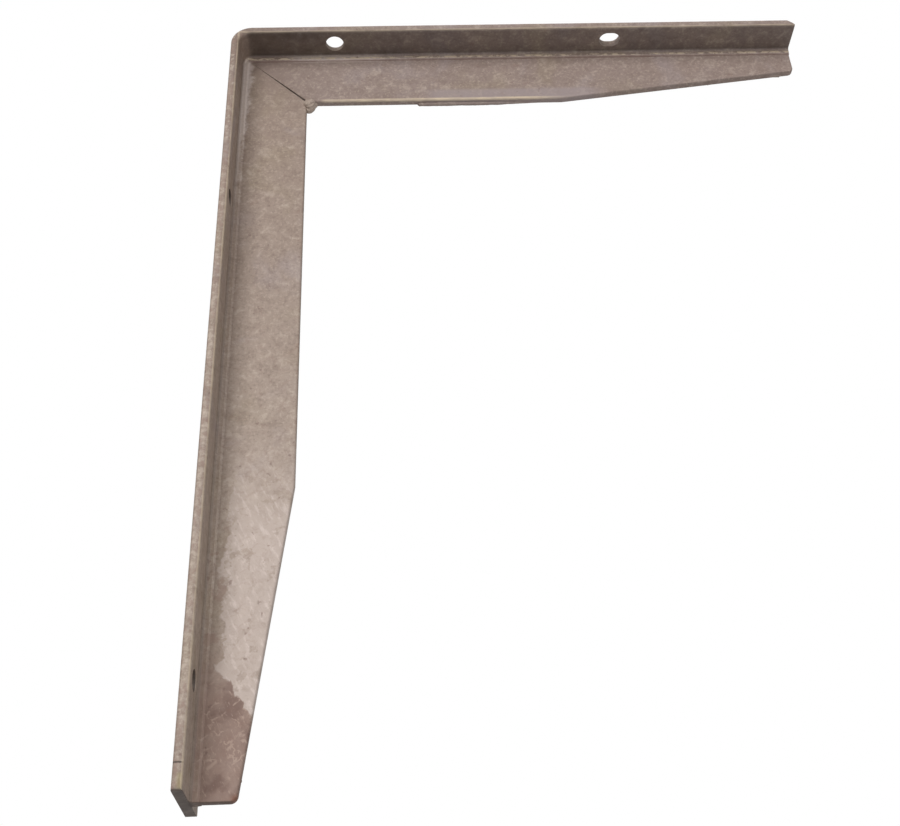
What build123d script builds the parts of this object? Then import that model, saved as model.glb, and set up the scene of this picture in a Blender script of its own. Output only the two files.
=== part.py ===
from build123d import *
import os
from math import hypot, sqrt

# A fixed shelf bracket, made from one length of hot-rolled steel tee. The flange runs
# down the wall and out under the shelf in one piece, bent round the outer corner. The
# web stands into the angle between the arms: it is notched so that the flange can bend,
# closed again as a mitre and welded at its inner corner, and cut back to a shallow toe
# at each free end.
#
# Frame, in millimetres: X points out from the wall, Z points up and Y runs along the
# wall. The wall face is the plane X = 0 and the web is centred on Y = 0. The origin is
# on the wall face, half way between the two wall holes.

# Arms, each measured from the outside of the other arm
shelf_arm_length = 305.0
wall_arm_length = 410.0

# Tee section
flange_width = 38.5
flange_thickness = 4.2
section_depth = 39.5
web_thickness = 4.0
root_radius = 1.5
root_ridge_height = 0.45
root_ridge_depth = 2.7
root_ridge_slope = 1.0
root_overlap = 0.3
flange_toe_radius = 1.9
flange_back_radius = 1.3
web_toe_radius = 1.0

# Bend and mitre
bend_radius = 11.0
mitre_gap = 1.3
mitre_gap_inset = 30.0
weld_radius = 3.0
weld_throat = 1.3
weld_proud = 0.5
weld_edge_radius = 0.8

# Toes of the web at the free ends
shelf_taper_length = 129.0
shelf_toe_depth = 21.2
wall_taper_length = 135.5
wall_toe_depth = 21.6
toe_corner_radius = 3.0

# Ends of the flange: cut corners at the wall arm's end, a knocked one on the shelf arm
wall_end_front_radius = 2.0
wall_end_rear_radius = 4.5
knock_along = 5.0
knock_across = 8.0
knock_down = 3.8

# Screw holes, all in the half of the flange on the -Y side of the web
hole_line_offset = 10.5
wall_hole_diameter = 9.0
wall_hole_spacing = 250.0
upper_wall_hole_drop = 115.5
shelf_hole_diameter = 9.6
shelf_hole_countersink = 1.6
shelf_hole_distance = 54.6
shelf_slot_width = 9.0
shelf_slot_length = 11.2
shelf_slot_spacing = 149.8

# Places worked out from the sizes above
shelf_face_z = wall_hole_spacing / 2 + upper_wall_hole_drop
wall_arm_end_z = shelf_face_z - wall_arm_length
inner_corner_x = section_depth
inner_corner_z = shelf_face_z - section_depth
mid_plane = Plane.XZ


def tee_section():
    """The tee across an arm: X is the depth from the flange's outer face, Y its width.

    The web leaves the flange through a small root and a low rolled ridge beside it.
    """
    half = flange_width / 2
    plain = web_thickness / 2
    raised = plain + root_ridge_height
    crest = flange_thickness + root_ridge_depth
    foot = crest + root_ridge_slope
    stub_depth = foot + root_overlap
    strip = Pos(flange_thickness / 2, 0) * Rectangle(flange_thickness, flange_width)
    stub_corners = [
        (0, raised),
        (crest, raised),
        (foot, plain),
        (stub_depth, plain),
        (stub_depth, -plain),
        (foot, -plain),
        (crest, -raised),
        (0, -raised),
    ]
    section = strip + make_face(Polyline(*stub_corners, close=True))
    section = fillet(corners_at(section, flange_thickness, raised), root_radius)
    section = fillet(corners_at(section, flange_thickness, half), flange_toe_radius)
    return fillet(corners_at(section, 0, half), flange_back_radius)


def corners_at(section, depth, offset):
    """The pair of corners of a section at this depth, either side of its middle."""
    return [
        corner
        for corner in section.vertices()
        if abs(corner.X - depth) < 0.01 and abs(abs(corner.Y) - offset) < 0.01
    ]


def flange():
    """The flange with its roots and rolled toes: two straight arms and the bend."""
    section = tee_section()
    bend_z = shelf_face_z - bend_radius
    wall_run = bend_z - wall_arm_end_z
    shelf_run = shelf_arm_length - bend_radius
    bend_start = Pos(0, 0, bend_z) * section
    bend_axis = Axis((bend_radius, 0, bend_z), (0, 1, 0))
    shelf_start = Plane(origin=(bend_radius, 0, shelf_face_z), x_dir=(0, 0, -1), z_dir=(1, 0, 0))
    wall_arm = extrude(bend_start, amount=-wall_run)
    bend = revolve(bend_start, bend_axis, 90)
    shelf_arm = extrude(shelf_start * section, amount=shelf_run)
    return wall_arm + bend + shelf_arm


def web_outline():
    """Side view of the web, from the middle of the flange to its free edge."""
    top = shelf_face_z
    buried = flange_thickness / 2
    heel_centre = (bend_radius, top - bend_radius)
    heel_radius = bend_radius - buried
    heel_low = (buried, heel_centre[1])
    heel_mid = (heel_centre[0] - heel_radius * sqrt(0.5), heel_centre[1] + heel_radius * sqrt(0.5))
    heel_high = (bend_radius, top - buried)
    shelf_toe = (shelf_arm_length, top - shelf_toe_depth)
    wall_toe = (wall_toe_depth, wall_arm_end_z)
    points = [
        heel_high,
        (shelf_arm_length, top - buried),
        shelf_toe,
        (shelf_arm_length - shelf_taper_length, inner_corner_z),
        (inner_corner_x, inner_corner_z),
        (inner_corner_x, wall_arm_end_z + wall_taper_length),
        wall_toe,
        (buried, wall_arm_end_z),
        heel_low,
    ]
    edges = [Line(start, end) for start, end in zip(points, points[1:])]
    edges.append(ThreePointArc(heel_low, heel_mid, heel_high))
    plate = make_face(mid_plane * Curve(edges))
    corners = [
        min(plate.vertices(), key=lambda v: hypot(v.X - x, v.Z - z))
        for x, z in (shelf_toe, wall_toe)
    ]
    return fillet(corners, toe_corner_radius)


def is_free_edge(edge):
    """True for the web's long free edges, which face into the angle of the bracket."""
    middle = edge.center()
    on_a_side = abs(abs(middle.Y) - web_thickness / 2) < 0.01
    clear_of_wall_flange = middle.X > wall_toe_depth / 2
    clear_of_shelf_flange = middle.Z < shelf_face_z - shelf_toe_depth / 2
    clear_of_ends = middle.X < shelf_arm_length - 0.1 and middle.Z > wall_arm_end_z + 0.1
    return on_a_side and clear_of_wall_flange and clear_of_shelf_flange and clear_of_ends


def web():
    """The web plate with its free edges broken."""
    plate = extrude(web_outline(), amount=web_thickness / 2, both=True)
    return fillet([edge for edge in plate.edges() if is_free_edge(edge)], web_toe_radius)


def mitre():
    """The wedge of air left in the web where the closed notch doesn't quite meet."""
    half = mitre_gap / 2 * sqrt(0.5)
    past = web_toe_radius
    apex = (inner_corner_x - mitre_gap_inset, inner_corner_z + mitre_gap_inset)
    low = (inner_corner_x + past - half, inner_corner_z - past - half)
    high = (inner_corner_x + past + half, inner_corner_z - past + half)
    wedge = make_face(mid_plane * Polyline(apex, low, high, close=True))
    return extrude(wedge, amount=web_thickness, both=True)


def weld():
    """The tack that closes the inner corner: a short bead across the web's thickness."""
    length = web_thickness + 2 * weld_proud
    bead = Cylinder(weld_radius, length, rotation=(90, 0, 0))
    bead = fillet(bead.edges().filter_by(GeomType.CIRCLE), weld_edge_radius)
    return Pos(inner_corner_x + weld_throat, 0, inner_corner_z - weld_throat) * bead


def wall_holes():
    """Round holes through the wall arm, one each side of the origin."""
    reach = flange_thickness * 3
    hole = Cylinder(wall_hole_diameter / 2, reach, rotation=(0, 90, 0))
    places = [wall_hole_spacing / 2, -wall_hole_spacing / 2]
    return [Pos(0, -hole_line_offset, z) * hole for z in places]


def shelf_holes():
    """A round hole near the corner and a slot along the arm further out."""
    reach = flange_thickness * 3
    round_hole = Cylinder(shelf_hole_diameter / 2, reach)
    slot = extrude(SlotOverall(shelf_slot_length, shelf_slot_width), amount=reach / 2, both=True)
    slot_distance = shelf_hole_distance + shelf_slot_spacing
    return [
        Pos(shelf_hole_distance, -hole_line_offset, shelf_face_z) * round_hole,
        Pos(slot_distance, -hole_line_offset, shelf_face_z) * slot,
    ]


def countersink():
    """The cone that opens the round shelf hole towards the shelf."""
    narrow = shelf_hole_diameter / 2
    wide = narrow + shelf_hole_countersink
    cone = Cone(narrow, wide, shelf_hole_countersink)
    middle_z = shelf_face_z - shelf_hole_countersink / 2
    return Pos(shelf_hole_distance, -hole_line_offset, middle_z) * cone


def wall_end_waste():
    """What comes off the wall arm's end to round the flange's two corners there."""
    reach = flange_thickness * 3
    waste = []
    for side, radius in ((-1, wall_end_front_radius), (1, wall_end_rear_radius)):
        corner_y = side * flange_width / 2
        inset_y = corner_y - side * radius / 2
        block = Pos(0, inset_y, wall_arm_end_z + radius / 2) * Box(reach, radius, radius)
        centre_y = corner_y - side * radius
        disc = Pos(0, centre_y, wall_arm_end_z + radius) * Cylinder(
            radius, reach, rotation=(0, 90, 0)
        )
        waste.append(block - disc)
    return waste


def knocked_corner():
    """The plane that takes the knocked upper corner off the shelf arm's front toe."""
    x = shelf_arm_length
    y = -flange_width / 2
    z = shelf_face_z
    along = Vector(x - knock_along, y, z)
    across = Vector(x, y + knock_across, z)
    down = Vector(x, y, z - knock_down)
    inward = (across - along).cross(down - along)
    return Plane(origin=along, x_dir=across - along, z_dir=inward)


def bracket():
    """The whole bracket as one solid."""
    body = flange() + web() - mitre()
    body = split(body, bisect_by=knocked_corner(), keep=Keep.TOP)
    for cut in wall_holes() + shelf_holes() + wall_end_waste():
        body = body - cut
    return body - countersink() + weld()


os.makedirs("parts", exist_ok=True)
part = bracket()
export_step(part, "parts/bracket.step")
print("bracket", len(part.solids()), "solid", round(part.volume), "mm3")
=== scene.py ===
"""Looks for a galvanised steel shelf bracket bent from one length of tee bar.

Everything is in metres in the part's own frame: X out from the wall, Z up to the shelf,
Y along the wall, the web centred on Y = 0 and the wall face on X = 0.
"""
import logging
import math
from dataclasses import dataclass, field
from enum import Enum
from typing import Any

import bpy
import bmesh
from mathutils import Matrix, Quaternion, Vector, noise


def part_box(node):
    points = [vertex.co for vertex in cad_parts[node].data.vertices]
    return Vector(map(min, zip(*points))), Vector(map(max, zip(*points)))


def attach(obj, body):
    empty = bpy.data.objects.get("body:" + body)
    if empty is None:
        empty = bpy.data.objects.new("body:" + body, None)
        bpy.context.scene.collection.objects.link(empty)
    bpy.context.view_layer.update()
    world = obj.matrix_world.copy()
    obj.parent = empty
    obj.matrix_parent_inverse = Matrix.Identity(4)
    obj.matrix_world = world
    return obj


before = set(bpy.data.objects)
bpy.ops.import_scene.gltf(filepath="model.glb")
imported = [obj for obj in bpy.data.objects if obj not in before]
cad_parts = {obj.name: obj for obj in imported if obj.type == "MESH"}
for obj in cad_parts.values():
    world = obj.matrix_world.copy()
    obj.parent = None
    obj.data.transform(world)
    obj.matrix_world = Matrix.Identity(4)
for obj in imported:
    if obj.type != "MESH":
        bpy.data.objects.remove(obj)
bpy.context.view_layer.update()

log = logging.getLogger("bracket")
Colour = tuple[float, float, float]
BODY = "root"
NODE = "bracket"
MM = 0.001


def srgb(red: int, green: int, blue: int) -> Colour:
    """Turns a colour given in display steps of 0 to 255 into linear light.

    Args:
        red: Red step.
        green: Green step.
        blue: Blue step.

    Returns:
        The linear colour.
    """
    def channel(step: int) -> float:
        """One channel as linear light."""
        value = step / 255
        return value / 12.92 if value <= 0.04045 else ((value + 0.055) / 1.055) ** 2.4

    return channel(red), channel(green), channel(blue)


# --- Node trees ---------------------------------------------------------------


class Piece(Enum):
    """The names of the pieces that are added to the bar."""

    WELD_BEAD = "weld_bead"
    ZINC_RUN = "zinc_run"
    DROSS_PIMPLES = "dross_pimples"


class Value:
    """A number socket that arithmetic can be written on."""

    def __init__(self, tree: "Tree", socket: bpy.types.NodeSocket) -> None:
        """Wraps one output socket of a tree."""
        self.tree = tree
        self.socket = socket

    def _math(self, operation: str, *parts: Any, clamp: bool = False) -> "Value":
        """Adds a Math node that works on the parts.

        Args:
            operation: The node's operation.
            parts: Values or numbers, in the order of the node's inputs.
            clamp: Whether the result is held between 0 and 1.

        Returns:
            The result.
        """
        kind = "ShaderNodeMath"
        settings = {"operation": operation, "use_clamp": clamp}
        return self.tree.add(kind, settings, dict(enumerate(parts)))

    def __add__(self, other: Any) -> "Value":
        """Sum."""
        return self._math("ADD", self, other)

    def __sub__(self, other: Any) -> "Value":
        """Difference."""
        return self._math("SUBTRACT", self, other)

    def __mul__(self, other: Any) -> "Value":
        """Product."""
        return self._math("MULTIPLY", self, other)

    def __pow__(self, other: Any) -> "Value":
        """Power."""
        return self._math("POWER", self, other)

    def __radd__(self, other: Any) -> "Value":
        """Sum with a plain number first."""
        return self._math("ADD", other, self)

    def __rsub__(self, other: Any) -> "Value":
        """Difference with a plain number first."""
        return self._math("SUBTRACT", other, self)

    def __rmul__(self, other: Any) -> "Value":
        """Product with a plain number first."""
        return self._math("MULTIPLY", other, self)

    def __abs__(self) -> "Value":
        """Absolute value."""
        return self._math("ABSOLUTE", self)

    def least(self, other: Any) -> "Value":
        """The smaller of this and another number."""
        return self._math("MINIMUM", self, other)

    def most(self, other: Any) -> "Value":
        """The larger of this and another number."""
        return self._math("MAXIMUM", self, other)

    def clamped(self) -> "Value":
        """This number held between 0 and 1."""
        return self._math("ADD", self, 0.0, clamp=True)

    def rise(self, low: float, high: float) -> "Value":
        """A smooth step from 0 at low to 1 at high.

        Args:
            low: Where the step starts; above high for a falling step.
            high: Where the step ends.

        Returns:
            The step's value.
        """
        settings = {"interpolation_type": "SMOOTHSTEP"}
        flipped = low > high
        ends = (high, low) if flipped else (low, high)
        links = {"Value": self, "From Min": ends[0], "From Max": ends[1]}
        step = self.tree.add("ShaderNodeMapRange", settings, links)
        return 1 - step if flipped else step

    def band(self, low: float, high: float, soft: float) -> "Value":
        """1 between low and high, falling to 0 over the soft distance on both sides.

        Args:
            low: Lower end of the band.
            high: Upper end of the band.
            soft: Width of each falling side.

        Returns:
            The band's value.
        """
        return self.rise(low - soft, low) * self.rise(high + soft, high)


class Tree:
    """Builds one node tree from plain calls."""

    def __init__(self, tree: bpy.types.NodeTree) -> None:
        """Starts on a node tree, which may already hold nodes."""
        self.tree = tree

    def node(
        self, kind: str, settings: dict[str, Any] | None = None,
        sockets: dict[Any, Any] | None = None,
    ) -> bpy.types.Node:
        """Adds a node, sets it up and feeds its sockets.

        Args:
            kind: The node's type name.
            settings: Values for the node itself, set before its sockets.
            sockets: Values or links by socket name or number.

        Returns:
            The node.
        """
        made = self.tree.nodes.new(kind)
        for name, value in (settings or {}).items():
            setattr(made, name, value)
        for key, value in (sockets or {}).items():
            self.feed(made.inputs[key], value)
        return made

    def add(
        self, kind: str, settings: dict[str, Any] | None = None,
        sockets: dict[Any, Any] | None = None, out: Any = 0,
    ) -> Value:
        """Adds a node and returns one of its outputs, wrapped.

        Args:
            kind: The node's type name.
            settings: Values for the node itself.
            sockets: Values or links by socket name or number.
            out: Name or number of the output.

        Returns:
            The output as a Value.
        """
        return Value(self, self.node(kind, settings, sockets).outputs[out])

    def feed(self, socket: bpy.types.NodeSocket, value: Any) -> None:
        """Links a Value or sets a plain value on a socket.

        Args:
            socket: The input socket.
            value: A Value, a socket, a colour or a plain value.
        """
        if isinstance(value, Value):
            self.tree.links.new(value.socket, socket)
        elif isinstance(value, bpy.types.NodeSocket):
            self.tree.links.new(value, socket)
        elif isinstance(value, tuple) and len(value) == 3 and socket.type == "RGBA":
            socket.default_value = (*value, 1.0)
        else:
            socket.default_value = value

    def blend(self, factor: Any, first: Any, second: Any) -> Value:
        """Mixes two colours.

        Args:
            factor: 0 for the first, 1 for the second.
            first: Colour or socket.
            second: Colour or socket.

        Returns:
            The mixed colour.
        """
        settings = {"data_type": "RGBA"}
        return self.add("ShaderNodeMix", settings, {0: factor, 6: first, 7: second}, 2)

    def vector(self, x: Any, y: Any, z: Any) -> Value:
        """Puts three numbers together as a vector."""
        return self.add("ShaderNodeCombineXYZ", {}, {0: x, 1: y, 2: z})

    def cloud(
        self, place: Value, size: float, detail: float = 3.0, roughness: float = 0.55,
        warp: float = 0.0,
    ) -> Value:
        """Noise from 0 to 1 with features of a given size.

        Args:
            place: Where on the piece, in metres.
            size: Size of the largest features, in metres.
            detail: How many finer layers are added.
            roughness: How strong the finer layers are.
            warp: How far the noise distorts itself.

        Returns:
            The noise value.
        """
        settings = {"noise_dimensions": "3D", "noise_type": "FBM", "normalize": True}
        links = {
            "Vector": place, "Scale": 1 / size, "Detail": detail,
            "Roughness": roughness, "Distortion": warp,
        }
        return self.add("ShaderNodeTexNoise", settings, links)


# --- Finishes -----------------------------------------------------------------


@dataclass(frozen=True)
class BarShape:
    """The sizes of the bar that its finish and its trimmings follow, in metres."""

    half_width: float
    shelf_z: float
    wall_end_z: float
    shelf_end_x: float
    half_web: float = 2.0 * MM
    flange: float = 4.2 * MM
    depth: float = 39.5 * MM
    ridge: float = 2.3 * MM
    groove: float = 3.9 * MM

    @property
    def inner_z(self) -> float:
        """Height of the web's free edge under the shelf arm."""
        return self.shelf_z - self.depth


@dataclass(frozen=True)
class Site:
    """Where on the bar a point of the finish is, and the noises there."""

    tree: Tree
    place: Value
    x: Value
    y: Value
    z: Value
    below: Value
    depth: Value
    along: Value
    side: Value
    up: Value
    front: Value
    rolled: Value
    wall: Value
    web: Value
    toe: Value
    grain: Value
    mottle: Value
    patch: Value
    streak: Value


@dataclass(frozen=True)
class WeatheredZinc:
    """Dull brown-grey hot-dip galvanising with bloom, stains, veins and rust, painted highlights along
    the edges, partly wear, and painted shade on undersides, in the holes, the roots and the inner
    corner.
    """

    shape: BarShape
    name: str = "weathered_zinc"
    shelf_tone: Colour = srgb(138, 121, 113)
    wall_tone_high: Colour = srgb(142, 124, 112)
    wall_tone_low: Colour = srgb(156, 140, 128)
    lilac: Colour = srgb(148, 135, 134)
    olive: Colour = srgb(140, 125, 102)
    # A darker mottled tone of the coat, also used as painted shade in the inner corner of the bend.
    shade: Colour = srgb(112, 94, 84)
    fleck: Colour = srgb(188, 173, 158)
    bloom: Colour = srgb(182, 167, 158)
    chalk: Colour = srgb(204, 190, 183)
    stain: Colour = srgb(137, 113, 102)
    # Dark brown of the deep stain and the specks, also used as the painted shade line along the groove.
    dark_stain_and_shade: Colour = srgb(112, 88, 79)
    vein: Colour = srgb(166, 144, 131)
    rust: Colour = srgb(112, 70, 50)
    # Dark colour of the crease and the cut end, also used as painted shade on faces that point down, in
    # the holes and in the roots.
    soot_and_shade: Colour = srgb(58, 47, 40)
    brass: Colour = srgb(150, 138, 96)
    # Highlight colour, partly wear, painted along the toes' inner edges, the ridge and the web's free
    # edge.
    edge: Colour = srgb(196, 178, 154)
    roughness: float = 0.6
    metallic: float = 0.1
    bump: float = 0.4
    bump_height: float = 0.3 * MM
    grain_size: float = 1.3 * MM
    mottle_size: float = 5 * MM
    patch_size: float = 32 * MM
    streak_size: float = 2.4 * MM
    speck_size: float = 3.4 * MM
    bloom_edge: float = 12 * MM
    bloom_foot: float = 51.5 * MM
    bloom_slope: float = 0.75
    bloom_fade: tuple[float, float] = (165 * MM, 105 * MM)
    vein_cell: float = 4.6 * MM
    crease_height: float = 10.2 * MM
    bead_reach: float = 7 * MM

    def make(self) -> bpy.types.Material:
        """Builds the material.

        Returns:
            The finished material.
        """
        material = bpy.data.materials.new(self.name)
        material.use_nodes = True
        tree = Tree(material.node_tree)
        shader = material.node_tree.nodes["Principled BSDF"]
        site = self._survey(tree)
        colour = self._body(site)
        colour, stained, veins = self._wall_foot(site, colour)
        colour = self._marks(site, colour)
        colour, lines = self._highlights_and_groove_shade(site, colour)
        colour = self._painted_underside_shade(site, colour)

        speck = tree.cloud(site.place, self.speck_size, 2.0, 0.5).rise(0.7, 0.76)
        colour = tree.blend(speck * 0.5, colour, self.dark_stain_and_shade)

        rough = self.roughness + (site.mottle - 0.5) * 0.35 + stained * 0.08 - lines * 0.12
        relief = site.grain * 0.5 + site.mottle * 0.7 + site.streak * 0.3
        relief = relief - speck * 0.5 + veins * 0.4 + lines * 0.5
        links = {"Strength": self.bump, "Distance": self.bump_height, "Height": relief}
        tree.feed(shader.inputs["Base Color"], colour)
        tree.feed(shader.inputs["Roughness"], rough)
        tree.feed(shader.inputs["Normal"], tree.add("ShaderNodeBump", {}, links))
        shader.inputs["Metallic"].default_value = self.metallic
        return material

    def _survey(self, tree: Tree) -> Site:
        """Measures where on the bar a point is, with the noises that all the layers share.

        Args:
            tree: The material's tree.

        Returns:
            The site.
        """
        shape = self.shape
        place = tree.add("ShaderNodeTexCoord", out="Object")
        split = tree.node("ShaderNodeSeparateXYZ", {}, {0: place})
        x, y, z = (Value(tree, split.outputs[i]) for i in range(3))
        normal = tree.add("ShaderNodeNewGeometry", out="True Normal")
        facing = tree.node("ShaderNodeSeparateXYZ", {}, {0: normal})
        below = shape.shelf_z - z
        depth = x.least(below)
        along = x.most(below)
        side = abs(y)
        rolled = tree.vector(along * 0.1, depth, y)
        by_web = side.rise(shape.half_web + 1.4 * MM, shape.half_web + 0.2 * MM)
        return Site(
            tree=tree, place=place, x=x, y=y, z=z,
            below=below, depth=depth, along=along, side=side, rolled=rolled,
            up=Value(tree, facing.outputs[2]),
            front=y.rise(-0.5 * MM, -1.5 * MM),
            wall=(below - x).rise(-3 * MM, 3 * MM),
            web=by_web * depth.rise(shape.flange - 0.4 * MM, shape.flange),
            toe=side.rise(shape.half_width - 1.5 * MM, shape.half_width - 0.5 * MM),
            grain=tree.cloud(place, self.grain_size, 3.0, 0.65),
            mottle=tree.cloud(place, self.mottle_size, 4.0, 0.62, warp=0.5),
            patch=tree.cloud(place, self.patch_size, 3.0, 0.5, warp=0.6),
            streak=tree.cloud(rolled, self.streak_size, 3.0, 0.6),
        )

    def _body(self, site: Site) -> Value:
        """The coat's base colour, lighter down the wall arm and finely speckled, with painted shade
        darkening the inner corner of the bend.

        Args:
            site: The place and its noises.

        Returns:
            The colour so far.
        """
        tree, grain, mottle, patch = site.tree, site.grain, site.mottle, site.patch
        fall = site.below.rise(20 * MM, 320 * MM)
        wall = tree.blend(fall, self.wall_tone_high, self.wall_tone_low)
        colour = tree.blend(site.wall, self.shelf_tone, wall)
        colour = tree.blend(patch.rise(0.52, 0.7) * 0.45, colour, self.lilac)
        colour = tree.blend(patch.rise(0.48, 0.32) * 0.3, colour, self.olive)
        colour = tree.blend(mottle.rise(0.52, 0.68) * 0.3, colour, self.shade)
        colour = tree.blend(mottle.rise(0.47, 0.32) * 0.3, colour, self.fleck)
        colour = tree.blend(grain.rise(0.53, 0.68) * 0.32, colour, self.fleck)
        colour = tree.blend(grain.rise(0.47, 0.32) * 0.36, colour, self.shade)
        colour = tree.blend(site.streak.rise(0.56, 0.74) * 0.14, colour, self.shade)
        # Painted shade: the shade colour darkens the bar towards the inner corner of the bend.
        corner = site.along.rise(58 * MM, 12 * MM) * (0.4 + mottle * 0.5)
        return tree.blend(corner * 0.85, colour, self.shade)

    def _wall_foot(self, site: Site, colour: Value) -> tuple[Value, Value, Value]:
        """The pale bloom low on the wall arm, and the brown veined stain under it.

        Args:
            site: The place and its noises.
            colour: The colour so far.

        Returns:
            The colour, the stain's mask and the veins' mask.
        """
        tree, place, x, z = site.tree, site.place, site.x, site.z
        grain, mottle = site.grain, site.mottle
        height = z - self.shape.wall_end_z
        swing = tree.cloud(place, 16 * MM, 3.0, 0.6)
        ragged = (mottle - 0.5) * 11 * MM + (swing - 0.5) * 14 * MM
        slope = (self.bloom_foot - height).most(0.0) * self.bloom_slope
        inside = (x - self.bloom_edge - slope + ragged).rise(-0.8 * MM, 0.8 * MM)
        fade = height.rise(*self.bloom_fade)
        on_web = site.wall * site.web
        bloomed = inside * fade * on_web
        islands = tree.cloud(place, 9 * MM, 4.0, 0.68).rise(0.54, 0.6)
        bloomed = bloomed * (0.85 - islands * 0.55)
        colour = tree.blend(bloomed.clamped(), colour, self.bloom)
        slanting = tree.vector((x + z * 0.5) * 2.2, 0.0, (z - x * 0.5) * 0.6)
        wisps = tree.cloud(slanting, 5 * MM, 4.0, 0.7).rise(0.5, 0.66)
        colour = tree.blend(bloomed * wisps * 0.7, colour, self.chalk)
        dull = grain.rise(0.52, 0.68) * 0.35 + mottle.rise(0.52, 0.7) * 0.3
        colour = tree.blend((bloomed * dull).clamped(), colour, self.wall_tone_low)

        low = height.rise(70 * MM, 34 * MM)
        stained = (1 - inside) * low * on_web
        deep = tree.cloud(place, 14 * MM, 4.0, 0.6).rise(0.48, 0.66)
        colour = tree.blend(stained * (0.6 + mottle * 0.5), colour, self.stain)
        colour = tree.blend(stained * deep * 0.85, colour, self.dark_stain_and_shade)
        chips = tree.cloud(slanting, 2.6 * MM, 4.0, 0.75).rise(0.56, 0.66)
        colour = tree.blend(stained * chips * 0.75, colour, self.vein)
        left = (1 - inside) * (1 - low) * height.rise(150 * MM, 90 * MM) * on_web
        colour = tree.blend(left * islands * 0.6, colour, self.stain)

        warp = tree.cloud(place, 3.5 * MM, 3.0, 0.65)
        bent = tree.vector(x + (warp - 0.5) * 6 * MM, 0.0, z + (warp - 0.5) * 4 * MM)
        cells = tree.add(
            "ShaderNodeTexVoronoi", {"feature": "DISTANCE_TO_EDGE"},
            {"Vector": bent, "Scale": 1 / self.vein_cell}, "Distance",
        )
        broken = tree.cloud(place, 4 * MM, 3.0, 0.6).rise(0.48, 0.6)
        lines = cells.rise(0.09, 0.02) * broken
        veins = lines * stained * height.rise(6 * MM, 16 * MM)
        colour = tree.blend(veins * 0.75, colour, self.vein)
        scratched = lines * on_web * height.rise(50 * MM, 60 * MM) * height.rise(330 * MM, 180 * MM)
        scratched = scratched * (1 - bloomed * 0.6)
        colour = tree.blend(scratched * 0.3, colour, self.stain)
        return colour, stained, veins

    def _marks(self, site: Site, colour: Value) -> Value:
        """Single marks: pale streaks by the roots, a crease, a brassy and a rusty patch.

        Args:
            site: The place and its noises.
            colour: The colour so far.

        Returns:
            The colour with the marks.
        """
        tree, place, x, z = site.tree, site.place, site.x, site.z
        grain, mottle = site.grain, site.mottle
        shape = self.shape
        below = site.below
        inner = shape.flange
        speckled = 0.25 + mottle * 0.4 + grain * 0.5
        width = 0.3 + below.rise(110 * MM, 8 * MM) * 3.6
        strip = site.depth.band(inner, inner + 1 * MM, 1.5 * MM)
        torn = (mottle - 0.5) * 9 * MM + (grain - 0.5) * 2 * MM
        pale = (site.depth - inner - width * MM + torn).rise(3.2 * MM, 0.0)
        pale = pale * site.wall * site.web * below.rise(130 * MM, 60 * MM)
        colour = tree.blend((pale * speckled * 0.95).clamped(), colour, self.chalk)
        shelf = (1 - site.wall) * site.web
        by_root = x.band(36 * MM, 74 * MM, 12 * MM) * below.band(5 * MM, 8 * MM, 2 * MM)
        colour = tree.blend(by_root * shelf * speckled * 0.6, colour, self.chalk)
        low_edge = x.band(112 * MM, 188 * MM, 14 * MM)
        low_edge = low_edge * (z - shape.inner_z).band(1 * MM, 6 * MM, 3 * MM) * shelf
        colour = tree.blend(low_edge * (0.4 + mottle * 0.6), colour, self.lilac)

        toe = site.toe * site.wall
        blotch = tree.cloud(place, 3.2 * MM, 4.0, 0.7)
        colour = tree.blend(toe * blotch.rise(0.5, 0.58) * 0.55, colour, self.stain)
        colour = tree.blend(toe * blotch.rise(0.46, 0.4) * 0.4, colour, self.fleck)
        height = z - shape.wall_end_z
        wobble = (mottle - 0.5) * 1.2 * MM
        crease = (height - self.crease_height + wobble).band(-0.25 * MM, 0.25 * MM, 0.2 * MM)
        colour = tree.blend(crease * toe * 0.8, colour, self.soot_and_shade)
        cut_end = height.rise(0.6 * MM, 0.2 * MM)
        colour = tree.blend(cut_end * (0.5 + mottle * 0.4), colour, self.soot_and_shade)
        brassy = height.band(1 * MM, 5.5 * MM, 1.5 * MM) * x.rise(1 * MM, 3.5 * MM)
        colour = tree.blend(brassy * toe * 0.6, colour, self.brass)
        near_tip = x.rise(18.5 * MM, 21 * MM) * height.rise(4 * MM, 1 * MM) * site.web
        colour = tree.blend(near_tip * site.wall * 0.8, colour, self.rust)
        # Painted shade on the walls inside the holes in the flanges, stronger on the wall arm.
        bore_shade = site.depth.band(0.5 * MM, inner - 0.4 * MM, 0.3 * MM)
        bore_shade = bore_shade * site.side.band(shape.half_web + 3 * MM, shape.half_width - 3.2 * MM, 0.2 * MM)
        off_end = x.rise(shape.shelf_end_x - 6 * MM, shape.shelf_end_x - 8 * MM)
        bore_shade = bore_shade * height.rise(6 * MM, 8 * MM) * off_end
        colour = tree.blend(bore_shade * (0.25 + site.wall * 0.6), colour, self.soot_and_shade)
        rusty = tree.cloud(place, 7 * MM, 3.0, 0.6).rise(0.66, 0.74)
        return tree.blend(rusty * (0.15 + strip * 0.1), colour, self.rust)

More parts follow.
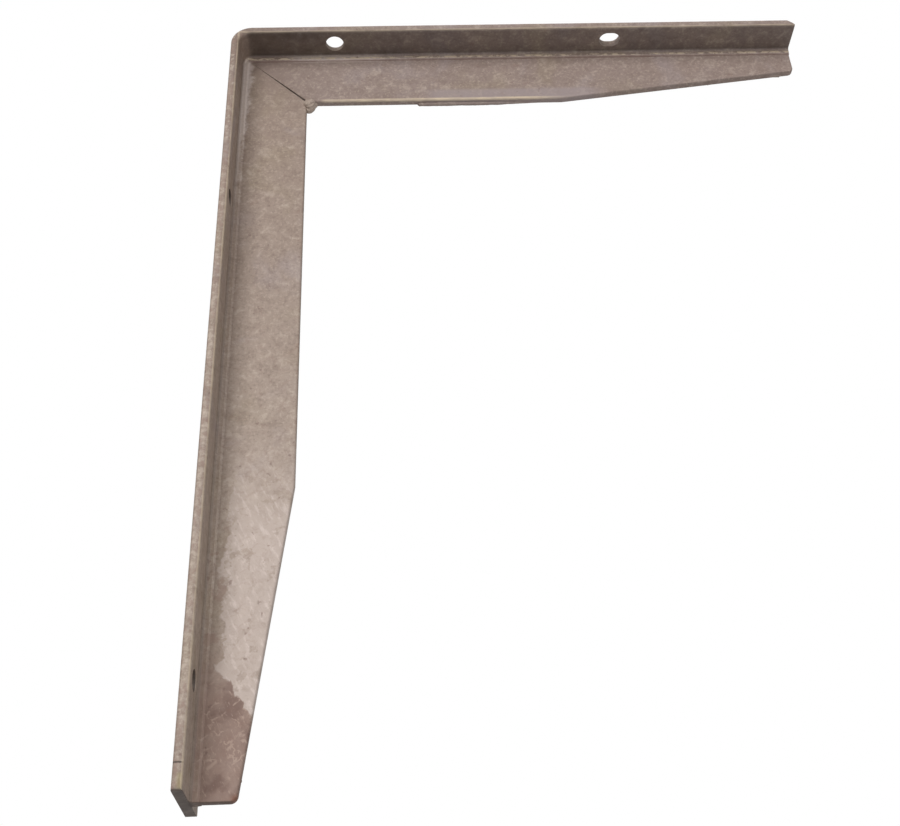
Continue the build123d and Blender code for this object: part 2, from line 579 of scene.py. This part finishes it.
    def _highlights_and_groove_shade(self, site: Site, colour: Value) -> tuple[Value, Value]:
        """Painted highlights along the inner edges of the toes, along the ridge (partly wear too) and
        along the web's free edge, and a painted shade line along the groove.

        Args:
            site: The place and its noises.
            colour: The colour so far.

        Returns:
            The colour and the painted highlights' mask.
        """
        tree = site.tree
        shape = self.shape
        depth = site.depth
        shelf = 1 - site.wall
        near_web = site.side.rise(shape.half_web + 2.2 * MM, shape.half_web + 1 * MM)
        broken = tree.cloud(site.rolled, 1.2 * MM, 3.0, 0.7).rise(0.4, 0.58)
        drawn = tree.vector(site.along * 0.6, depth, site.y)
        dotted = tree.cloud(drawn, 1.6 * MM, 2.0).rise(0.42, 0.56)
        # Painted highlight along the ridge's crest, partly wear, and painted shade along the groove at
        # its foot; both are faint on the wall arm.
        crest = depth - shape.flange - shape.ridge
        ridge_highlight = crest.band(-0.5 * MM, 0.4 * MM, 0.4 * MM) * near_web * (0.1 + shelf * 0.9)
        colour = tree.blend(ridge_highlight * dotted * 0.9, colour, self.edge)
        foot = depth - shape.flange - shape.groove
        groove_shade = foot.band(-0.3 * MM, 0.35 * MM, 0.5 * MM) * near_web * (0.1 + shelf * 0.9)
        colour = tree.blend(groove_shade * (0.4 + broken * 0.35), colour, self.dark_stain_and_shade)
        # Painted highlight along the inner edges of the toes.
        rim_highlight = (depth - shape.flange).band(-0.6 * MM, 0.1 * MM, 0.4 * MM) * site.toe
        colour = tree.blend(rim_highlight * (0.3 + broken * 0.4), colour, self.edge)
        # Painted highlight along the web's rounded free edge under the shelf arm.
        free = (site.z - shape.inner_z).band(-0.6 * MM, 1.1 * MM, 0.4 * MM) * shelf
        free = free * site.front * site.along.rise(46 * MM, 50 * MM)
        free = free * site.along.rise(190 * MM, 150 * MM)
        colour = tree.blend(free * (0.55 + broken * 0.45), colour, self.edge)
        return colour, (ridge_highlight * dotted + rim_highlight + free).clamped()

    def _painted_underside_shade(self, site: Site, colour: Value) -> Value:
        """Painted shade on what faces down, heaviest near the corner, and in the root where the flange
        meets the web.

        Args:
            site: The place and its noises.
            colour: The colour so far.

        Returns:
            The colour with the painted shade.
        """
        tree, patch, mottle = site.tree, site.patch, site.mottle
        shape = self.shape
        # Painted shade: faces that point down are darkened, more near the corner and by the web's root,
        # unevenly in patches; the weld spot is lighter and spared.
        under = site.up.rise(-0.5, -0.92)
        near_corner = site.along.rise(120 * MM, 40 * MM) * 0.2
        in_root = (site.side - shape.half_web).rise(9 * MM, 1 * MM) * 0.12
        amount = 0.46 + near_corner + in_root + (patch - 0.5) * 0.5 + (mottle - 0.5) * 0.3
        on_flange = site.depth.rise(shape.flange + 1 * MM, shape.flange)
        on_ends = 0.12 * (1 - on_flange)
        from_corner = site.depth - shape.depth
        reach = (from_corner * from_corner + (site.along - shape.depth) ** 2) ** 0.5
        off_web = site.side.rise(shape.half_web + 0.1 * MM, shape.half_web + 0.3 * MM)
        off_web = off_web.most(from_corner.rise(-0.2 * MM, 0.3 * MM))
        bead = reach.rise(self.bead_reach, self.bead_reach - 1 * MM) * off_web
        underside_shade = under * (amount * on_flange + on_ends) * (1 - bead * 0.8)
        colour = tree.blend(bead * 0.3, colour, self.fleck)
        colour = tree.blend(underside_shade.clamped(), colour, self.soot_and_shade)
        # Painted shade in the root where the flange meets the web.
        root_shade = site.depth.band(shape.flange - 0.5 * MM, shape.flange + 0.8 * MM, 0.5 * MM)
        near_web = site.side.rise(shape.half_web + 3 * MM, shape.half_web + 1 * MM)
        return tree.blend(root_shade * near_web * 0.35, colour, self.soot_and_shade)


# --- Pieces -------------------------------------------------------------------


def finish_piece(
    mesh: bpy.types.Mesh, name: Piece, material: bpy.types.Material,
) -> bpy.types.Object:
    """Makes an object from a finished mesh and rides it on the bracket.

    Args:
        mesh: The mesh, in the part's frame.
        name: The piece's name.
        material: Its finish.

    Returns:
        The piece.
    """
    mesh.name = name.value
    mesh.materials.clear()
    mesh.materials.append(material)
    for polygon in mesh.polygons:
        polygon.use_smooth = True
        polygon.material_index = 0
    piece = bpy.data.objects.new(name.value, mesh)
    bpy.context.scene.collection.objects.link(piece)
    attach(piece, BODY)
    return piece


@dataclass
class Grower:
    """Runs a geometry node tree over a mesh and hands back a plain mesh."""

    name: str
    inputs: dict[str, tuple[str, Any]]
    tree: Tree = field(init=False)
    start: bpy.types.Node = field(init=False)

    def __post_init__(self) -> None:
        """Makes the node group with its named inputs."""
        group = bpy.data.node_groups.new(self.name, "GeometryNodeTree")
        face = group.interface
        face.new_socket("Geometry", in_out="INPUT", socket_type="NodeSocketGeometry")
        for title, (kind, _) in self.inputs.items():
            face.new_socket(title, in_out="INPUT", socket_type=kind)
        face.new_socket("Geometry", in_out="OUTPUT", socket_type="NodeSocketGeometry")
        self.tree = Tree(group)
        self.start = self.tree.node("NodeGroupInput")

    def given(self, title: str) -> Value:
        """The named input as a value."""
        return Value(self.tree, self.start.outputs[title])

    def run(self, result: Value, source: bpy.types.Mesh) -> bpy.types.Mesh:
        """Ends the tree, runs it and returns the mesh it makes.

        Args:
            result: The geometry to hand back.
            source: The mesh that the tree works on.

        Returns:
            A plain mesh.
        """
        real = self.tree.add("GeometryNodeRealizeInstances", {}, {0: result})
        done = self.tree.add(
            "GeometryNodeSetMaterial", {}, {"Geometry": real, "Material": self.given("Material")}
        )
        self.tree.node("NodeGroupOutput", {}, {0: done})
        host = bpy.data.objects.new(self.name, source)
        bpy.context.scene.collection.objects.link(host)
        grown = host.modifiers.new(self.name, "NODES")
        grown.node_group = self.tree.tree
        for item in self.tree.tree.interface.items_tree:
            if item.in_out == "INPUT" and item.name in self.inputs:
                grown[item.identifier] = self.inputs[item.name][1]
        graph = bpy.context.evaluated_depsgraph_get()
        mesh = bpy.data.meshes.new_from_object(host.evaluated_get(graph))
        host.modifiers.remove(grown)
        bpy.data.objects.remove(host)
        return mesh


@dataclass
class Bar:
    """The bent tee bar itself, carried over from the frame and dressed."""

    node: bpy.types.Object
    material: bpy.types.Material

    def dress(self) -> bpy.types.Object:
        """Gives the bar its finish.

        Returns:
            The bar.
        """
        self.node.data.materials.clear()
        self.node.data.materials.append(self.material)
        return self.node

    def merged_copy(self) -> bpy.types.Mesh:
        """Copies the bar's mesh, with its loose triangles joined.

        Returns:
            The copy.
        """
        work = bmesh.new()
        work.from_mesh(self.node.data)
        bmesh.ops.remove_doubles(work, verts=work.verts, dist=0.001 * MM)
        mesh = bpy.data.meshes.new("bar_copy")
        work.to_mesh(mesh)
        work.free()
        return mesh


@dataclass
class WeldBead:
    """The lumpy tack at the inner corner of the mitre."""

    shape: BarShape
    material: bpy.types.Material
    voxel: float = 0.3 * MM
    roughness: float = 0.28 * MM
    ripple: float = 1.4 * MM
    settling: float = 0.6
    settle_rounds: int = 14
    blobs: tuple[tuple[float, float, float, float], ...] = (
        (0.6, -0.9, -0.1, 3.0),
        (2.0, -1.4, 0.3, 2.9),
        (2.6, -0.6, -1.9, 1.9),
        (0.2, -2.2, -1.7, 1.9),
        (1.2, -3.0, 0.8, 2.3),
        (3.9, -0.2, 0.2, 2.0),
        (0.6, -4.3, 0.4, 1.7),
    )

    def build(self) -> bpy.types.Object:
        """Melts a few blobs of weld metal together over the corner.

        Returns:
            The bead.
        """
        corner = Vector((self.shape.depth, 0, self.shape.inner_z))
        work = bmesh.new()
        for out, up, back, radius in self.blobs:
            middle = corner + Vector((out, back, up)) * MM
            place = Matrix.Translation(middle)
            bmesh.ops.create_icosphere(work, subdivisions=3, radius=radius * MM, matrix=place)
        mesh = bpy.data.meshes.new("weld_blobs")
        work.to_mesh(mesh)
        work.free()
        host = bpy.data.objects.new("weld_blobs", mesh)
        bpy.context.scene.collection.objects.link(host)
        melt = host.modifiers.new("melt", "REMESH")
        melt.mode = "VOXEL"
        melt.voxel_size = self.voxel
        settle = host.modifiers.new("settle", "SMOOTH")
        settle.factor = self.settling
        settle.iterations = self.settle_rounds
        graph = bpy.context.evaluated_depsgraph_get()
        bead = bpy.data.meshes.new_from_object(host.evaluated_get(graph))
        bpy.data.objects.remove(host)
        self._ripple(bead)
        return finish_piece(bead, Piece.WELD_BEAD, self.material)

    def _ripple(self, mesh: bpy.types.Mesh) -> None:
        """Roughens the bead's surface along its own normals.

        Args:
            mesh: The bead's mesh, which is changed in place.
        """
        moves = [
            vertex.normal * noise.noise(vertex.co / self.ripple) * self.roughness
            for vertex in mesh.vertices
        ]
        for vertex, move in zip(mesh.vertices, moves):
            vertex.co += move
        mesh.update()


@dataclass
class ZincRun:
    """A frozen run of zinc that hangs along the back edge of the shelf arm's web."""

    shape: BarShape
    material: bpy.types.Material
    start: float = 98 * MM
    end: float = 176 * MM
    radius: float = 1.15 * MM
    rings: int = 160
    sides: int = 16
    swell_scale: float = 260.0
    blunt_end: float = 1.5 * MM
    tail: float = 45 * MM

    def build(self) -> bpy.types.Object:
        """Sweeps the run along the edge and makes it uneven.

        Returns:
            The run.
        """
        back = self.shape.half_web - self.radius * 0.75
        level = self.shape.inner_z
        grower = Grower(Piece.ZINC_RUN.value, {
            "Start": ("NodeSocketVector", (self.start, back, level)),
            "End": ("NodeSocketVector", (self.end, back, level)),
            "Radius": ("NodeSocketFloat", self.radius),
            "Rings": ("NodeSocketInt", self.rings),
            "Sides": ("NodeSocketInt", self.sides),
            "Material": ("NodeSocketMaterial", self.material),
        })
        tree = grower.tree
        line = tree.add(
            "GeometryNodeCurvePrimitiveLine", {},
            {"Start": grower.given("Start"), "End": grower.given("End")},
        )
        rail = tree.add("GeometryNodeResampleCurve", {}, {"Curve": line, "Count": grower.given("Rings")})
        ring = tree.add(
            "GeometryNodeCurvePrimitiveCircle", {},
            {"Resolution": grower.given("Sides"), "Radius": grower.given("Radius")},
        )
        tube = tree.add(
            "GeometryNodeCurveToMesh", {}, {"Curve": rail, "Profile Curve": ring, "Fill Caps": True}
        )
        spot = tree.add("GeometryNodeInputPosition")
        parts = tree.node("ShaderNodeSeparateXYZ", {}, {0: spot})
        x = Value(tree, parts.outputs[0])
        axis = tree.vector(x, back, level)
        swell = tree.add(
            "ShaderNodeTexNoise", {"noise_dimensions": "3D"},
            {"Vector": spot, "Scale": self.swell_scale, "Detail": 3.0},
        )
        ends = x.rise(self.start - 0.2 * MM, self.start + self.blunt_end)
        ends = ends * x.rise(self.end, self.end - self.tail)
        factor = ends * (0.72 + swell * 0.55) - 1
        spoke = tree.add("ShaderNodeVectorMath", {"operation": "SUBTRACT"}, {0: spot, 1: axis})
        push = tree.add("ShaderNodeVectorMath", {"operation": "SCALE"}, {0: spoke, "Scale": factor})
        uneven = tree.add("GeometryNodeSetPosition", {}, {"Geometry": tube, "Offset": push})
        mesh = grower.run(uneven, bpy.data.meshes.new("zinc_run_seed"))
        return finish_piece(mesh, Piece.ZINC_RUN, self.material)


@dataclass
class DrossPimples:
    """Small hard pimples of dross caught in the coat on both sides of the web."""

    bar: Bar
    shape: BarShape
    material: bpy.types.Material
    gap: float = 7.5 * MM
    radius: float = 0.42 * MM
    flatness: float = 0.45
    density: float = 6000.0
    smallest: float = 0.35
    largest: float = 1.25
    seed: int = 7

    def build(self) -> bpy.types.Object:
        """Scatters the pimples over the web, clear of the flange and of both free ends.

        Returns:
            The pimples as one piece.
        """
        grower = Grower(Piece.DROSS_PIMPLES.value, {
            "Gap": ("NodeSocketFloat", self.gap),
            "Density": ("NodeSocketFloat", self.density),
            "Radius": ("NodeSocketFloat", self.radius),
            "Flatness": ("NodeSocketFloat", self.flatness),
            "Seed": ("NodeSocketInt", self.seed),
            "Material": ("NodeSocketMaterial", self.material),
        })
        tree = grower.tree
        spot = tree.add("GeometryNodeInputPosition")
        parts = tree.node("ShaderNodeSeparateXYZ", {}, {0: spot})
        x, y, z = (Value(tree, parts.outputs[i]) for i in range(3))
        depth = x.least(self.shape.shelf_z - z)
        inside = depth.rise(self.shape.flange + 0.5 * MM, self.shape.flange + 1.5 * MM)
        clear = inside * x.rise(self.shape.shelf_end_x - 1 * MM, self.shape.shelf_end_x - 3 * MM)
        clear = clear * z.rise(self.shape.wall_end_z + 1 * MM, self.shape.wall_end_z + 3 * MM)
        scatter = tree.node("GeometryNodeDistributePointsOnFaces", {"distribute_method": "POISSON"}, {
            "Mesh": Value(tree, grower.start.outputs["Geometry"]),
            "Distance Min": grower.given("Gap"),
            "Density Max": grower.given("Density"),
            "Density Factor": clear,
            "Seed": grower.given("Seed"),
        })
        ball = tree.add(
            "GeometryNodeMeshIcoSphere", {}, {"Radius": grower.given("Radius"), "Subdivisions": 2}
        )
        size = tree.node("FunctionNodeRandomValue", {"data_type": "FLOAT"}, {
            2: self.smallest, 3: self.largest, "Seed": grower.given("Seed"),
        })
        across = Value(tree, size.outputs[1])
        scale = tree.vector(across, across, across * grower.given("Flatness"))
        placed = tree.add("GeometryNodeInstanceOnPoints", {}, {
            "Points": Value(tree, scatter.outputs["Points"]),
            "Instance": ball,
            "Rotation": Value(tree, scatter.outputs["Rotation"]),
            "Scale": scale,
        })
        mesh = grower.run(placed, self.bar.merged_copy())
        return finish_piece(mesh, Piece.DROSS_PIMPLES, self.material)


# --- Stage, light and camera --------------------------------------------------


@dataclass
class Stage:
    """The pale floor below the bracket, and the surroundings."""

    drop: float = 0.62
    half_size: float = 6.0
    ambient: float = 0.26
    mirrored: float = 0.35
    floor_colour: Colour = (0.8, 0.8, 0.8)
    floor_roughness: float = 0.9

    def build(self, low: Vector) -> bpy.types.Object:
        """Makes the floor and the world.

        Args:
            low: The bracket's lowest corner.

        Returns:
            The floor.
        """
        mesh = bpy.data.meshes.new("floor")
        size = self.half_size
        level = low.z - self.drop
        corners = [
            (-size, -size, level), (size, -size, level), (size, size, level), (-size, size, level),
        ]
        mesh.from_pydata(corners, [], [(0, 1, 2, 3)])
        floor = bpy.data.objects.new("floor", mesh)
        bpy.context.scene.collection.objects.link(floor)
        material = bpy.data.materials.new("floor")
        material.use_nodes = True
        shader = material.node_tree.nodes["Principled BSDF"]
        shader.inputs["Base Color"].default_value = (*self.floor_colour, 1)
        shader.inputs["Roughness"].default_value = self.floor_roughness
        mesh.materials.append(material)
        self._world()
        return floor

    def _world(self) -> None:
        """White where it is seen or mirrored, dimmer as a source of light."""
        world = bpy.data.worlds.new("surroundings")
        world.use_nodes = True
        bpy.context.scene.world = world
        tree = Tree(world.node_tree)
        path = tree.node("ShaderNodeLightPath")
        seen = Value(tree, path.outputs["Is Camera Ray"])
        clear = Value(tree, path.outputs["Is Transmission Ray"])
        glossy = Value(tree, path.outputs["Is Glossy Ray"])
        shown = seen.most(clear).most(glossy * self.mirrored)
        strength = self.ambient + shown * (1 - self.ambient)
        background = world.node_tree.nodes["Background"]
        background.inputs["Color"].default_value = (1, 1, 1, 1)
        tree.feed(background.inputs["Strength"], strength)


@dataclass(frozen=True)
class Lamp:
    """One soft rectangular lamp aimed at the bracket."""

    name: str
    place: tuple[float, float, float]
    size: float
    watts: float

    def build(self, aim: Vector) -> bpy.types.Object:
        """Makes the lamp.

        Args:
            aim: The point it faces.

        Returns:
            The lamp's object.
        """
        data = bpy.data.lights.new(self.name, "AREA")
        data.size = self.size
        data.energy = self.watts
        lamp = bpy.data.objects.new(self.name, data)
        lamp.location = self.place
        lamp.rotation_euler = (aim - Vector(self.place)).to_track_quat("-Z", "Y").to_euler()
        bpy.context.scene.collection.objects.link(lamp)
        return lamp


@dataclass(frozen=True)
class Camera:
    """A camera below the bracket, looking up at it from in front."""

    place: tuple[float, float, float] = (0.08779, -0.47313, -0.30824)
    heading: float = 2.429
    lift: float = 33.215
    roll: float = -2.759
    lens: float = 50.407
    sensor: float = 36.0

    def build(self) -> bpy.types.Object:
        """Makes the scene's camera.

        Returns:
            The camera's object.
        """
        data = bpy.data.cameras.new("camera")
        data.lens = self.lens
        data.sensor_width = self.sensor
        data.clip_start = 0.01
        camera = bpy.data.objects.new("camera", data)
        turn = (
            Quaternion((0, 0, 1), -math.radians(self.heading))
            @ Quaternion((1, 0, 0), math.radians(90 + self.lift))
            @ Quaternion((0, 0, 1), math.radians(self.roll))
        )
        camera.location = self.place
        camera.rotation_mode = "QUATERNION"
        camera.rotation_quaternion = turn
        bpy.context.scene.collection.objects.link(camera)
        bpy.context.scene.camera = camera
        return camera


LAMPS = (
    Lamp("key", (-0.9, -1.7, 0.9), 1.0, 28.5),
    Lamp("fill", (1.1, -1.5, 0.1), 1.2, 12.0),
    Lamp("top", (0.2, 0.3, 1.9), 1.2, 12.0),
    Lamp("rear", (-0.4, 1.7, 1.0), 1.2, 16.0),
)


def main() -> None:
    """Builds the bracket's looks, the stage and the camera, in that order."""
    logging.basicConfig(level=logging.INFO, format="%(name)s: %(message)s")
    low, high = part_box(NODE)
    shape = BarShape(
        half_width=(high.y - low.y) / 2, shelf_z=high.z, wall_end_z=low.z, shelf_end_x=high.x,
    )
    Camera().build()
    material = WeatheredZinc(shape).make()
    bar = Bar(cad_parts[NODE], material)
    bar.dress()
    log.info("bar dressed: %d faces", len(bar.node.data.polygons))
    trimmings = (
        WeldBead(shape, material), ZincRun(shape, material), DrossPimples(bar, shape, material),
    )
    for trimming in trimmings:
        piece = trimming.build()
        log.info("%s: %d faces", piece.name, len(piece.data.polygons))
    Stage().build(low)
    centre = (low + high) / 2
    for lamp in LAMPS:
        lamp.build(centre)
    bpy.context.scene.view_settings.view_transform = "Standard"
    bpy.context.view_layer.update()


if __name__ == "__main__":
    main()
